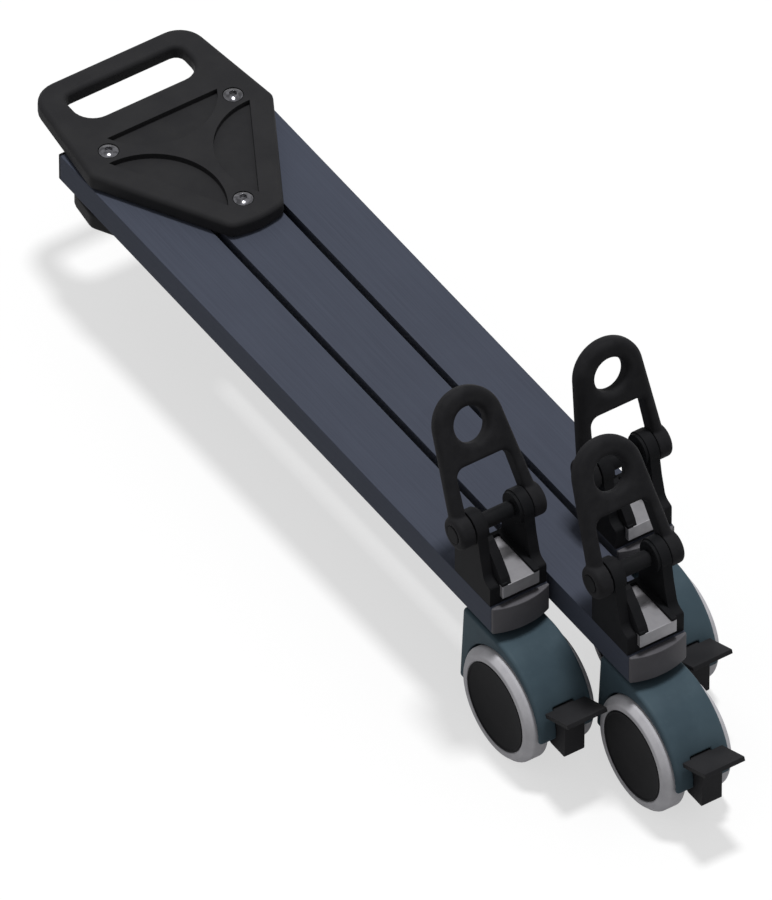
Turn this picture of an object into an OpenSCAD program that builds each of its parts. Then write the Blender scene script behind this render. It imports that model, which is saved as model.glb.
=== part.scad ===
// Folding three-arm dolly for a camera tripod, shown folded.
// Millimetres, +Z up, floor at Z = 0, +X from the left arm to the right arm.
// The arms point along -Y, and the hand grip along +Y.

/* [Hub] */
// How far the middle pivot stands out in front of the outer two
pivot_stagger = 106.5; // [100:0.5:125]
// Thickness of the top plate
top_plate_t = 14.5; // [10:0.5:20]
// Thickness of the bottom plate
bottom_plate_t = 17; // [14:0.5:22]
// Plate left outside the lines that join the pivots
plate_margin = 32.5; // [26:0.5:40]
// Plate left in front of the middle pivot
plate_nose = 26; // [20:0.5:36]
// How far the hand grip reaches behind the outer pivots
grip_reach = 94; // [84:1:120]
// Width of the grip's back edge between its sharp corners
grip_w = 151.5; // [136:0.5:160]
// How far the bottom plate reaches behind the outer pivots
bottom_plate_reach = 21; // [14:1:60]
// Length of the hand slot across the grip
slot_w = 112.5; // [80:0.5:120]
// Depth of the hand slot from front to back
slot_d = 36; // [28:1:44]
// Bar left behind the hand slot
grip_bar = 19.5; // [12:0.5:24]
// Radius of the grip's two back corners
grip_corner_r = 24; // [16:1:32]
// Radius of the bottom plate's two back corners
bottom_corner_r = 12; // [8:1:16]
// Radius of the rounded edges of both plates
plate_edge_r = 4.5; // [2:0.5:5]
// Depth of the three curved pockets in the top plate
pocket_depth = 5; // [2:0.5:7]
// How far a pocket reaches outside the line between two pivots
pocket_out = 13; // [8:0.5:16]
// How far a pocket bulges inside that line
pocket_in = 20; // [12:0.5:24]
// How far a pocket ends short of each pivot
pocket_end = 7; // [4:0.5:12]

/* [Pivots] */
// Diameter of the pivot bolts
bolt_d = 10; // [8:0.5:12]
// Diameter of the domed bolt heads
bolt_head_d = 16.5; // [14:0.5:20]
// Height of the domed bolt heads
bolt_head_h = 4; // [3:0.5:6]
// Width of the hexagon socket in a bolt head
bolt_socket_w = 6; // [4:0.5:7]
// Width of the pivot nuts across their flats
nut_w = 17; // [13:0.5:19]
// Height of the pivot nuts
nut_h = 9; // [6:0.5:11]
// Outer diameter of the bush in each arm
bush_d = 18; // [15:0.5:22]
// Thickness of the friction washers between the arms and the plates
washer_t = 1; // [0.5:0.25:2]
// Diameter of the friction washers
washer_d = 40; // [26:1:50]

/* [Arms] */
// Width of an arm
arm_w = 54; // [48:0.5:56]
// Gap between two arms side by side
arm_gap = 6; // [2:0.5:12]
// Height of an arm
arm_h = 27; // [22:0.5:34]
// Wall of an arm tube
arm_wall = 2.5; // [1.5:0.25:4]
// Distance from an arm's pivot to its outer end
arm_reach = 600; // [450:5:800]
// Length of an arm behind its pivot
arm_tail = 33; // [28:1:45]
// Rim of an end cap that shows outside the tube
cap_rim = 2.5; // [1.5:0.25:4]
// How far the front of an end cap bows out
cap_bow = 6; // [3:0.5:10]
// How far the plugs reach into a tube
plug_depth = 12; // [8:1:20]

/* [Foot holders] */
// Length of a foot shoe along its arm
shoe_len = 55; // [48:1:75]
// Thickness of a shoe's side cheeks
cheek_t = 9.5; // [7:0.5:12]
// Thickness of a shoe's floor
shoe_floor = 7; // [4:0.5:9]
// How far a shoe's front stands back from the arm's outer end
shoe_back = 4; // [2:0.5:8]
// Height of a cheek at its front toe
toe_h = 19; // [12:0.5:22]
// Length of the low toe of a cheek
toe_len = 9; // [5:0.5:14]
// Distance of the cross pin from the arm's outer end
pin_in = 36.5; // [32:0.5:45]
// Height of the cross pin above the arm
pin_h = 61; // [52:0.5:70]
// Diameter of the cross pin
pin_d = 10; // [7:0.5:12]
// Radius of a cheek round the cross pin
cheek_r = 15; // [13:0.5:18]
// Diameter of the roller on the middle of the cross pin
roller_d = 14; // [13:0.5:18]
// Height of the metal seat block
seat_h = 13; // [8:0.5:18]
// Width of the ledges that hold the seat block down
ledge_w = 5; // [3:0.5:8]

/* [Rubber straps] */
// Distance from the cross pin to the middle of the finger ring
strap_len = 79.5; // [70:0.5:100]
// Radius of the round top of a strap
strap_r = 31.5; // [26:0.5:36]
// Radius of the finger hole
finger_r = 15; // [11:0.5:17]
// Thickness of a strap
strap_t = 16; // [12:0.5:18]
// Radius of the rounded edges of a strap
strap_edge_r = 6; // [2:0.5:6]
// Radius of the rounded edges of the finger hole
finger_edge_r = 5; // [2:0.5:6]
// Width of each leg of a strap
leg_w = 11.5; // [9:0.5:12]
// Gap between a cheek and the strap's leg beside it
leg_gap = 1; // [0.5:0.25:3]
// Height of the top of the strap's window above the cross pin
window_top = 49.5; // [40:0.5:52]
// Diameter of the bosses that grip the cross pin
boss_d = 29; // [26:0.5:34]
// Length of the bosses that grip the cross pin
boss_len = 13; // [10:0.5:16]
// Lean of the left strap back from upright, in degrees
left_lean = 30.5; // [0:0.5:40]
// Lean of the middle strap back from upright, in degrees
middle_lean = 28; // [0:0.5:40]
// Lean of the right strap back from upright, in degrees
right_lean = 15; // [0:0.5:40]

/* [Casters] */
// Diameter of the wheels
wheel_d = 100; // [90:1:104]
// Width over both wheels of a caster
caster_w = 62; // [56:0.5:64]
// Width of one wheel
wheel_w = 17; // [14:0.5:18]
// Height of a tyre from the rim to the tread
tyre_h = 10.5; // [8:0.5:14]
// Width of the bevel round a tyre's outer edge
tyre_bevel = 5; // [2:0.5:6]
// Diameter of the wheel axle
axle_d = 8; // [6:0.5:10]
// How far the axle trails behind the swivel stem
trail = 35; // [30:0.5:38]
// Distance of the swivel stem from the arm's outer end
stem_in = 23.5; // [20:0.5:30]
// Diameter of the swivel stem
stem_d = 11; // [9:0.5:12]
// Width of a hood
hood_w = 50; // [44:0.5:54]
// How far the hood's curved top stands out over the tyres
hood_over = 12; // [8:0.5:16]
// How far the hood's front stands out in front of the tyres
hood_front_over = 5; // [4:0.5:12]
// How far the hood's back stands out behind the tyres
hood_back_over = 7; // [4:0.5:12]
// Height of the swivel between a hood's top and the arm
swivel_h = 6.5; // [5:0.5:12]
// Radius of the hood's rounded edges
hood_edge_r = 2.5; // [1:0.5:4]
// Gap between a tyre and the hood's arch
arch_gap = 1.7; // [1:0.1:3]
// Gap between a wheel and the middle of the hood
web_gap = 0.8; // [0.4:0.1:1.5]

/* [Brake pedals] */
// Width of a pedal's tread plate
tread_w = 38; // [30:1:44]
// Thickness of a pedal's tread plate
tread_t = 4; // [3:0.5:6]
// How far the tread plate reaches in front of the axle
tread_reach = 83; // [76:0.5:90]
// Height of the tread plate's front edge above the axle
tread_rise = 40; // [34:0.5:44]
// Tilt of the tread plate, in degrees
tread_tilt = 22.5; // [10:0.5:30]
// Length of the tread plate along its tilt
tread_len = 34; // [28:0.5:36]
// Width of the pedal's block
block_w = 19; // [14:0.5:20]
// How far the front of the block stands in front of the axle
block_front = 66; // [62:0.5:70]
// How far the block hangs below the axle
block_drop = 15; // [8:0.5:18]

/* [Hidden] */
$fa = 4;
$fs = 0.6;
LEFT = -1;
MIDDLE = 0;
RIGHT = 1;
// Running clearance of a shaft in its bore, on the radius
fit = 0.05;
// Clearance between parts that move past each other
gap = 0.3;
// Overshoot of a cut past the face that it opens
cut = 1;
// Radius that stands for a sharp corner
sharp = 0.1;

arm_pitch = arm_w + arm_gap;
axle_h = wheel_d / 2;
hood_r = axle_h + hood_over;
hood_top = axle_h + hood_r;
arm_clearance = hood_top + swivel_h;
arm_top = arm_clearance + arm_h;
disc_r = axle_h - tyre_h;
top_plate_z = arm_top + washer_t;
bottom_plate_z = arm_clearance - washer_t - bottom_plate_t;
tube_reach = arm_reach - cap_rim;
stem_y = stem_in - arm_reach;
axle_y = stem_y - trail;
pin_y = pin_in - arm_reach;
pin_z = arm_top + pin_h;
cheek_in = arm_w / 2 - cheek_t;
wheel_in = caster_w / 2 - wheel_w;
web_half = wheel_in - web_gap;
// The origin is the middle of the whole length, from the grip to the middle pedal
front_end = pivot_stagger - axle_y + tread_reach + tread_t * sin(tread_tilt);
origin_y = (front_end - grip_reach) / 2;

// Corners [x, y, radius] are rounded in the plane and may be moved in from each edge
function xy(c) = [c[0], c[1]];
function unit(v) = v / norm(v);
function left_of(v) = [-v[1], v[0]];
function cross2(a, b) = a[0] * b[1] - a[1] * b[0];
function area(c) = let(n = len(c)) [for (i = [0:n - 1]) cross2(c[i], c[(i + 1) % n])]
    * [for (i = [0:n - 1]) 0.5];
function turned(c) = area([for (p = c) xy(p)]) > 0 ? c : [for (i = [len(c) - 1:-1:0]) c[i]];
function before(c, i) = unit(xy(c[i]) - xy(c[(i + len(c) - 1) % len(c)]));
function after(c, i) = unit(xy(c[(i + 1) % len(c)]) - xy(c[i]));
function moved(c, e) = [for (i = [0:len(c) - 1])
    let(a = before(c, i), b = after(c, i), na = left_of(a), nb = left_of(b),
        p = xy(c[i]) + (na + nb) * e / (1 + na * nb),
        convex = cross2(a, b) > 0)
    [p[0], p[1], max(c[i][2] + (convex ? -e : e), sharp)]];
function bend(c, i, step, r0) =
    let(a = before(c, i), b = after(c, i),
        turn = atan2(cross2(a, b), a * b), side = sign(turn), r = c[i][2],
        start = xy(c[i]) - a * r * tan(abs(turn) / 2),
        centre = start + left_of(a) * r * side,
        n = max(r0 > 1 ? 2 : 1, ceil(abs(turn) / (r0 > 15 ? step : 2 * step))))
    [for (k = [0:n])
        let(t = turn * k / n)
        centre - side * r * (left_of(a) * cos(t) - a * sin(t))];
function outline(corners, e = 0, step = 12) =
    let(c = turned(corners), m = moved(c, e))
    [for (i = [0:len(c) - 1]) each bend(m, i, step, c[i][2])];
// Heights and insets of a slab of thickness t with rounded edges
function slab_levels(t, low_r, high_r, steps = 4) = concat(
    [for (k = [0:steps]) let(f = 90 * k / steps) [low_r * (1 - cos(f)), low_r * (1 - sin(f))]],
    [for (k = [0:steps]) let(f = 90 * k / steps)
        [t - high_r * (1 - sin(f)), high_r * (1 - cos(f))]]);
// The same for a hole through a slab, whose edges flare
function hole_levels(t, low_r, high_r, steps = 4) =
    let(s = slab_levels(t, low_r, high_r, steps), n = len(s) - 1) concat(
    [[-cut, -s[0][1]]], [for (p = s) [p[0], -p[1]]], [[t + cut, -s[n][1]]]);
// A solid that joins one outline at each height, moved in by each inset
module loft(corners, levels, step = 12) {
    rings = [for (l = levels) [for (p = outline(corners, l[1], step)) [p[0], p[1], l[0]]]];
    n = len(rings[0]);
    m = len(levels);
    polyhedron(
        points = [for (ring = rings) each ring],
        faces = concat(
            [[for (i = [0:n - 1]) i]],
            [[for (i = [n - 1:-1:0]) (m - 1) * n + i]],
            [for (k = [0:m - 2]) for (i = [0:n - 1])
                let(j = (i + 1) % n, a = k * n + i, b = (k + 1) * n + i,
                    c = (k + 1) * n + j, d = k * n + j)
                each [[a, b, c], [a, c, d]]]));
}
// A profile in Y and Z, drawn to a width along X
module across(w) rotate([90, 0, 90]) translate([0, 0, -w / 2]) linear_extrude(w) children();
module bar_x(r, from, to) translate([from, 0, 0]) rotate([0, 90, 0]) cylinder(r = r, h = to - from);
module box(x, y, z) translate([x[0], y[0], z[0]]) cube([x[1] - x[0], y[1] - y[0], z[1] - z[0]]);

// Places of the pivots and of each arm
PIVOTS = [[-arm_pitch, 0], [arm_pitch, 0], [0, -pivot_stagger]];
module at_origin() translate([0, origin_y, 0]) children();
module at_pivots() for (p = PIVOTS) translate([p[0], origin_y + p[1], 0]) children();
module on_arm(side)
    translate([side * arm_pitch, origin_y - (side == MIDDLE ? pivot_stagger : 0), 0]) children();
module at_axle() translate([0, axle_y, axle_h]) children();
module at_pin() translate([0, pin_y, pin_z]) children();

// Hub plates
side_out = left_of(unit(PIVOTS[2] - PIVOTS[1]));
wide_corner = PIVOTS[1] + side_out * plate_margin;
nose_y = -pivot_stagger - plate_nose;
nose_bow = 4;
nose_half = wide_corner[0] + (nose_y + nose_bow - wide_corner[1]) * side_out[1] / -side_out[0];
function grip_side(y) = wide_corner[0]
    + (grip_w / 2 - wide_corner[0]) * (y - wide_corner[1]) / (grip_reach - wide_corner[1]);
function plate_corners(half_w, y, r) = [
    [half_w, y, r], [-half_w, y, r],
    [-wide_corner[0], wide_corner[1], wide_corner_r],
    [-nose_half, nose_y + nose_bow, nose_corner_r], [0, nose_y, nose_r],
    [nose_half, nose_y + nose_bow, nose_corner_r], [wide_corner[0], wide_corner[1], wide_corner_r]];
slot_back = grip_reach - grip_bar;
SLOT = [[-slot_w / 2, slot_back, 8], [slot_w / 2, slot_back, 8],
    [slot_w / 2, slot_back - slot_d, slot_d / 2], [-slot_w / 2, slot_back - slot_d, slot_d / 2]];
head_sink = 2;
nut_room = 7;
wide_corner_r = 9;
nose_corner_r = 11;
nose_r = 60;
lug_w = arm_gap - 1.2;
lug_front = pivot_stagger + 6;
lug_len = 34;
lug_h = 18;
module pocket(p, q) {
    half_chord = norm(q - p) / 2 - pocket_end;
    rise = pocket_in + pocket_out;
    r = (pow(half_chord, 2) + pow(rise, 2)) / (2 * rise);
    v = unit(q - p);
    translate([(p[0] + q[0]) / 2, (p[1] + q[1]) / 2, 0]) rotate([0, 0, atan2(v[1], v[0])])
        intersection() {
            translate([0, pocket_in - r, 0]) cylinder(r = r, h = pocket_depth + cut, $fn = 96);
            box([-r, r], [-pocket_out, r], [0, pocket_depth + cut]);
        }
}
module lugs() for (side = [-1, 1]) translate([side * (arm_w + lug_w) / 2, 0, 0])
    box([-lug_w / 2, lug_w / 2], [-lug_front, lug_len - lug_front],
        [arm_top - lug_h, top_plate_z + cut]);
module top_plate() color([0.2, 0.2, 0.2]) {
    difference() {
        at_origin() {
            difference() {
                translate([0, 0, top_plate_z]) difference() {
                    loft(plate_corners(grip_w / 2, grip_reach, grip_corner_r),
                        slab_levels(top_plate_t, 2, plate_edge_r));
                    loft(SLOT, hole_levels(top_plate_t, 3, plate_edge_r));
                }
                translate([0, 0, top_plate_z + top_plate_t - pocket_depth]) {
                    pocket(PIVOTS[1], PIVOTS[0]);
                    pocket(PIVOTS[0], PIVOTS[2]);
                    pocket(PIVOTS[2], PIVOTS[1]);
                }
            }
            lugs();
        }
        at_pivots() {
            translate([0, 0, top_plate_z - cut]) cylinder(d = bolt_d, h = top_plate_t + 2 * cut);
            translate([0, 0, top_plate_z + top_plate_t - head_sink])
                cylinder(d = bolt_head_d + 1, h = head_sink + cut);
        }
    }
}
module bottom_plate() color([0.17, 0.17, 0.17]) difference() {
    at_origin() translate([0, 0, bottom_plate_z])
        loft(plate_corners(grip_side(bottom_plate_reach), bottom_plate_reach, bottom_corner_r),
            slab_levels(bottom_plate_t, plate_edge_r, 2));
    at_pivots() {
        translate([0, 0, bottom_plate_z + nut_h - cut])
            cylinder(d = bolt_d, h = bottom_plate_t - nut_h + 2 * cut);
        translate([0, 0, bottom_plate_z - cut]) cylinder(d = nut_w + nut_room, h = nut_h + cut);
    }
}
head_z = top_plate_z + top_plate_t - head_sink;
module pivot_bolts() color([0.8, 0.8, 0.82]) at_pivots() {
    translate([0, 0, bottom_plate_z]) cylinder(d = bolt_d, h = head_z - bottom_plate_z);
    translate([0, 0, head_z]) difference() {
        intersection() {
            cylinder(d = bolt_head_d, h = bolt_head_h);
            translate([0, 0, bolt_head_h - bolt_head_d]) sphere(r = bolt_head_d);
        }
        translate([0, 0, bolt_head_h / 2])
            cylinder(d = bolt_socket_w / cos(30), h = bolt_head_h, $fn = 6);
    }
}
module pivot_nuts() color([0.7, 0.7, 0.72]) at_pivots()
    translate([0, 0, bottom_plate_z]) difference() {
        intersection() {
            cylinder(d = nut_w / cos(30), h = nut_h, $fn = 6);
            translate([0, 0, nut_w * 0.9]) sphere(r = nut_w * 1.02);
        }
        translate([0, 0, -cut]) cylinder(d = bolt_d, h = nut_h + 2 * cut);
    }
module friction_washers() color([0.85, 0.85, 0.8]) at_pivots()
    for (z = [arm_clearance - washer_t, arm_top]) translate([0, 0, z]) difference() {
        cylinder(d = washer_d, h = washer_t);
        translate([0, 0, -cut]) cylinder(d = bolt_d + 2 * fit, h = washer_t + 2 * cut);
    }

// Arms
inner_w = arm_w - 2 * arm_wall;
inner_h = arm_h - 2 * arm_wall;
stem_grip = 16;
stem_top = arm_clearance + arm_wall + stem_grip;
module arm_tube() color([0.29, 0.31, 0.36]) difference() {
    box([-arm_w / 2, arm_w / 2], [-tube_reach, arm_tail - cap_rim], [arm_clearance, arm_top]);
    box([-inner_w / 2, inner_w / 2], [-tube_reach - cut, arm_tail],
        [arm_clearance + arm_wall, arm_top - arm_wall]);
    translate([0, 0, arm_clearance - cut]) cylinder(d = bush_d, h = arm_h + 2 * cut);
    translate([0, stem_y, arm_clearance - cut]) cylinder(d = stem_d + 1, h = arm_wall + 2 * cut);
}
module pivot_bush() color([0.72, 0.72, 0.74]) translate([0, 0, arm_clearance]) difference() {
    cylinder(d = bush_d, h = arm_h);
    translate([0, 0, -cut]) cylinder(d = bolt_d + 2 * fit, h = arm_h + 2 * cut);
}
plug_wall = 3;
module tube_plug(depth) difference() {
    box([-inner_w / 2, inner_w / 2], [0, depth], [arm_clearance + arm_wall, arm_top - arm_wall]);
    box([plug_wall - inner_w / 2, inner_w / 2 - plug_wall], [plug_wall, depth + cut],
        [arm_clearance + arm_wall + plug_wall, arm_top - arm_wall - plug_wall]);
}
bow_r = (pow(arm_w / 2, 2) + pow(cap_bow, 2)) / (2 * cap_bow);
module end_cap() color([0.3, 0.29, 0.3]) {
    translate([0, -tube_reach, 0]) tube_plug(plug_depth);
    intersection() {
        box([-arm_w / 2, arm_w / 2], [-arm_reach - cap_bow, -tube_reach], [arm_clearance, arm_top]);
        translate([0, bow_r - arm_reach - cap_bow, arm_clearance - cut])
            cylinder(r = bow_r, h = arm_h + 2 * cut, $fn = 120);
    }
}
module tail_plug() color([0.13, 0.13, 0.14]) {
    box([-arm_w / 2, arm_w / 2], [arm_tail - cap_rim, arm_tail], [arm_clearance, arm_top]);
    translate([0, arm_tail - cap_rim, 0]) mirror([0, 1, 0]) tube_plug(plug_depth - 3);
}
stem_block_len = 34;
stem_block_front = plug_depth - tube_reach + gap;
module stem_block() color([0.6, 0.6, 0.62]) difference() {
    box([-inner_w / 2, inner_w / 2], [stem_block_front, stem_block_front + stem_block_len],
        [arm_clearance + arm_wall, arm_top - arm_wall]);
    translate([0, stem_y, arm_clearance]) cylinder(d = stem_d, h = stem_top - arm_clearance);
}

// Foot holders
shoe_front = shoe_back - arm_reach;
cheek_back = shoe_len - arm_reach;
seat_z = arm_top + shoe_floor;
seat_back = cheek_back - 4;
CHEEK = [
    [cheek_back, 0, 1.5], [shoe_front, 0, 1.5], [shoe_front, toe_h, 2.5],
    [shoe_front + toe_len, toe_h + 3.5, 8], [pin_y - cheek_r - 3, pin_h * 0.7, 40],
    [pin_y - cheek_r * 0.98, pin_h, 2], [pin_y + cheek_r * 0.98, pin_h, 2],
    [cheek_back, pin_h * 0.55, 30]];
pad_t = 2.5;
ledge_t = 2.8;
module cheek(side) translate([side * (arm_w / 2 - cheek_t / 2), 0, arm_top]) {
    across(cheek_t) polygon(outline(CHEEK, 0, 10));
    translate([0, pin_y, pin_h]) bar_x(cheek_r, -cheek_t / 2, cheek_t / 2);
}
module foot_shoe() color([0.14, 0.14, 0.15]) difference() {
    union() {
        for (side = [-1, 1]) {
            cheek(side);
            box(side < 0 ? [-cheek_in, ledge_w - cheek_in] : [cheek_in - ledge_w, cheek_in],
                [-arm_reach, cheek_back], [seat_z + seat_h, seat_z + seat_h + ledge_t]);
            at_pin() bar_x(cheek_r - 1.5, min(side * cheek_in, side * (cheek_in - pad_t)),
                max(side * cheek_in, side * (cheek_in - pad_t)));
        }
        box([-arm_w / 2, arm_w / 2], [shoe_front, cheek_back], [arm_top, seat_z]);
        box([-cheek_in, cheek_in], [seat_back, cheek_back], [arm_top, seat_z + seat_h + ledge_t]);
    }
    at_pin() bar_x(pin_d / 2, -arm_w, arm_w);
}
module seat_block() color([0.56, 0.56, 0.57])
    box([-cheek_in, cheek_in], [-arm_reach, seat_back], [seat_z, seat_z + seat_h]);
leg_in = arm_w / 2 + leg_gap;
boss_out = leg_in + boss_len;
pin_head_r = pin_d / 2 + 2.5;
pin_head_sink = 1.5;
module cross_pin() color([0.16, 0.16, 0.17]) at_pin() {
    bar_x(pin_d / 2, -boss_out, boss_out);
    bar_x(roller_d / 2, pad_t + 2 - cheek_in, cheek_in - pad_t - 2);
    for (side = [-1, 1]) translate([side * (boss_out - pin_head_sink + 1), 0, 0])
        bar_x(pin_head_r, -1, 1);
}

// Rubber straps
leg_out = boss_out - 0.5;
leg_tilt = atan(leg_out / strap_len) - asin(strap_r / norm([leg_out, strap_len]));
crown_half = strap_r * tan(45 - leg_tilt / 2);
// The crown is one half circle but for a short flat at its top
crown_r = strap_r - 0.3;
STRAP = [[-leg_out, 0, 1], [leg_out, 0, 1],
    [crown_half, strap_len + strap_r, crown_r], [-crown_half, strap_len + strap_r, crown_r]];
// The window runs on below the pin and narrows a little less than the outside
window_tilt = leg_tilt * 0.7;
window_low = -boss_d;
function window_half(h) = leg_out - leg_w - h * tan(window_tilt);
WINDOW = [[-window_half(window_low), window_low, 1], [window_half(window_low), window_low, 1],
    [window_half(window_top), window_top, 9], [-window_half(window_top), window_top, 9]];
window_edge_r = 3;
boss_edge_r = 3;
module strap_slab(corners, levels) rotate([90, 0, 0]) translate([0, 0, -strap_t / 2])
    loft(corners, levels, 9);
module foot_strap(lean) color([0.13, 0.13, 0.14]) at_pin() rotate([-lean, 0, 0]) difference() {
    union() {
        difference() {
            strap_slab(STRAP, slab_levels(strap_t, strap_edge_r, strap_edge_r));
            strap_slab(WINDOW, hole_levels(strap_t, window_edge_r, window_edge_r, 2));
        }
        for (side = [-1, 1]) translate([side * (leg_in + boss_len / 2), 0, 0])
            rotate([0, side * 90, 0]) rotate_extrude() polygon(concat(
                [[0, boss_len / 2], [0, -boss_len / 2], [boss_d / 2, -boss_len / 2]],
                [for (f = [0:15:90]) [boss_d / 2 - boss_edge_r * (1 - cos(f)),
                    boss_len / 2 - boss_edge_r * (1 - sin(f))]]));
    }
    translate([0, 0, strap_len]) rotate([90, 0, 0]) rotate_extrude($fn = 96) polygon(concat(
        [[0, strap_t / 2 + cut], [0, -strap_t / 2 - cut], [finger_r + finger_edge_r, -strap_t / 2 - cut]],
        [for (f = [0:15:90]) [finger_r + finger_edge_r * (1 - sin(f)),
            finger_edge_r * (1 - cos(f)) - strap_t / 2]],
        [for (f = [90:-15:0]) [finger_r + finger_edge_r * (1 - sin(f)),
            strap_t / 2 - finger_edge_r * (1 - cos(f))]],
        [[finger_r + finger_edge_r, strap_t / 2 + cut]]));
    bar_x(pin_d / 2 + fit, -arm_w, arm_w);
    for (side = [-1, 1]) translate([side * (boss_out - pin_head_sink + 2 - gap), 0, 0])
        bar_x(pin_head_r + gap, -2, 2);
}

// Casters
race_h = 3;
flange_h = arm_clearance - hood_top - race_h - gap;
stem_foot = 22;
stem_bottom = axle_h + stem_foot;
race_r = 13;
module caster_stem() color([0.7, 0.7, 0.72]) translate([0, stem_y, 0]) {
    translate([0, 0, stem_bottom]) cylinder(d = stem_d, h = stem_top - stem_bottom);
    translate([0, 0, arm_clearance - flange_h]) cylinder(r = race_r, h = flange_h);
}
hood_slant = 5;
hood_drop = 18;
hood_front = axle_h + hood_front_over;
hood_back = axle_h + hood_back_over;
front_drop = 3;
HOOD = [[-hood_front, -front_drop, 3], [-hood_front, hood_r, hood_r], [hood_back, hood_r, 5],
    [hood_back + hood_slant, -hood_drop, 2.6], [hood_back - 4, -hood_drop, 2.6]];
// The lever turns on a pin between the wheels; places are measured from the axle
lever_pin = [-30, 14];
lever_pin_d = 5;
lever_end_r = 6;
tread_front = [-tread_reach, tread_rise];
tread_back = tread_front + tread_len * [cos(tread_tilt), -sin(tread_tilt)];
tread_drop = tread_t * [-sin(tread_tilt), -cos(tread_tilt)];
tread_under = tread_t / 2 / cos(tread_tilt);
function tread_z(y) = tread_rise + (-tread_reach - y) * tan(tread_tilt) - tread_under;
LEVER = [[-block_front, tread_z(-block_front), 0.5], [-block_front, -block_drop, 2],
    [-block_front + 21, -block_drop, 4], [lever_pin[0] + lever_end_r + 1, lever_pin[1] - 5, 6],
    [lever_pin[0] + lever_end_r - 1, lever_pin[1] + lever_end_r, 5],
    [tread_back[0] - 3, tread_z(tread_back[0] - 3), 0.5]];
cavity_half = block_w / 2 + 2 * gap;
cavity_back = lever_pin[0] + lever_end_r + 5;
CAVITY = [[-hood_front - 10, -hood_drop - 10], [cavity_back, -hood_drop - 10],
    [cavity_back, lever_pin[1] + lever_end_r + 2], [-hood_front + 8, tread_rise - 8],
    [-hood_front - 10, tread_rise]];
module hood() color([0.26, 0.33, 0.37]) difference() {
    union() {
        at_axle() difference() {
            rotate([90, 0, 90]) translate([0, 0, -hood_w / 2])
                loft(HOOD, slab_levels(hood_w, hood_edge_r, hood_edge_r, 3), 6);
            for (side = [-1, 1]) mirror([side < 0 ? 1 : 0, 0, 0])
                bar_x(wheel_d / 2 + arch_gap, web_half, hood_w);
        }
        at_axle() bar_x(axle_d / 2 + 5, -web_half, web_half);
        translate([0, stem_y, hood_top - cut]) cylinder(r = race_r, h = race_h + cut);
    }
    translate([0, stem_y, stem_bottom - gap]) cylinder(d = stem_d + 2 * fit, h = hood_top);
    at_axle() {
        bar_x(axle_d / 2, -hood_w, hood_w);
        across(2 * cavity_half) polygon(CAVITY);
        translate([0, lever_pin[0], lever_pin[1]]) bar_x(lever_pin_d / 2, -hood_w, hood_w);
    }
}
module lever_pin_rod() color([0.7, 0.7, 0.72]) at_axle()
    translate([0, lever_pin[0], lever_pin[1]]) bar_x(lever_pin_d / 2, -web_half, web_half);
module brake_pedal() color([0.12, 0.12, 0.12]) at_axle() difference() {
    union() {
        across(block_w) polygon(outline(LEVER));
        across(tread_w) polygon([tread_front, tread_back, tread_back + tread_drop,
            tread_front + tread_drop]);
    }
    translate([0, lever_pin[0], lever_pin[1]]) bar_x(lever_pin_d / 2 + fit, -hood_w, hood_w);
}
module wheel_axle() color([0.7, 0.7, 0.72]) at_axle()
    bar_x(axle_d / 2, disc_sink + disc_t + gap - caster_w / 2, caster_w / 2 - disc_t - disc_sink - gap);

// Wheels: profiles run along the axle from the middle of the caster, and out from its centre
disc_sink = 0.6;
disc_t = 2.4;
lip = 2.2;
barrel_t = 3.5;
module spun(side) at_axle() mirror([side < 0 ? 1 : 0, 0, 0]) rotate([0, 90, 0])
    rotate_extrude($fn = 120) children();
face = caster_w / 2;
module wheel_rim(side) color([0.14, 0.14, 0.15]) spun(side) polygon([
    [0, face - disc_sink], [disc_r - lip, face - disc_sink], [disc_r - lip, face], [disc_r, face],
    [disc_r, wheel_in + 1], [disc_r - barrel_t, wheel_in + 1],
    [disc_r - barrel_t, face - disc_sink - disc_t], [axle_d / 2 + 4, face - disc_sink - disc_t],
    [axle_d / 2 + 4, wheel_in], [axle_d / 2 + fit, wheel_in],
    [axle_d / 2 + fit, face - disc_sink - disc_t], [0, face - disc_sink - disc_t]]);
module wheel_tyre(side) color([0.55, 0.55, 0.57]) spun(side) polygon([
    [disc_r, face], [wheel_d / 2 - tyre_bevel, face], [wheel_d / 2, face - tyre_bevel],
    [wheel_d / 2, wheel_in + 1.5], [wheel_d / 2 - 1.5, wheel_in], [disc_r, wheel_in]]);

top_plate();
bottom_plate();
pivot_bolts();
pivot_nuts();
friction_washers();
on_arm(LEFT) arm_tube();  // left_arm_tube
on_arm(LEFT) pivot_bush();  // left_pivot_bush
on_arm(LEFT) tail_plug();  // left_tail_plug
on_arm(LEFT) end_cap();  // left_end_cap
on_arm(LEFT) stem_block();  // left_stem_block
on_arm(LEFT) foot_shoe();  // left_foot_shoe
on_arm(LEFT) seat_block();  // left_seat_block
on_arm(LEFT) cross_pin();  // left_cross_pin
on_arm(LEFT) foot_strap(left_lean);  // left_foot_strap
on_arm(LEFT) caster_stem();  // left_caster_stem
on_arm(LEFT) hood();  // left_hood
on_arm(LEFT) wheel_axle();  // left_axle
on_arm(LEFT) wheel_rim(-1);  // left_rim_a
on_arm(LEFT) wheel_tyre(-1);  // left_tyre_a
on_arm(LEFT) wheel_rim(1);  // left_rim_b
on_arm(LEFT) wheel_tyre(1);  // left_tyre_b
on_arm(LEFT) brake_pedal();  // left_brake_pedal
on_arm(LEFT) lever_pin_rod();  // left_pedal_pin
on_arm(MIDDLE) arm_tube();  // middle_arm_tube
on_arm(MIDDLE) pivot_bush();  // middle_pivot_bush
on_arm(MIDDLE) tail_plug();  // middle_tail_plug
on_arm(MIDDLE) end_cap();  // middle_end_cap
on_arm(MIDDLE) stem_block();  // middle_stem_block
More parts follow.
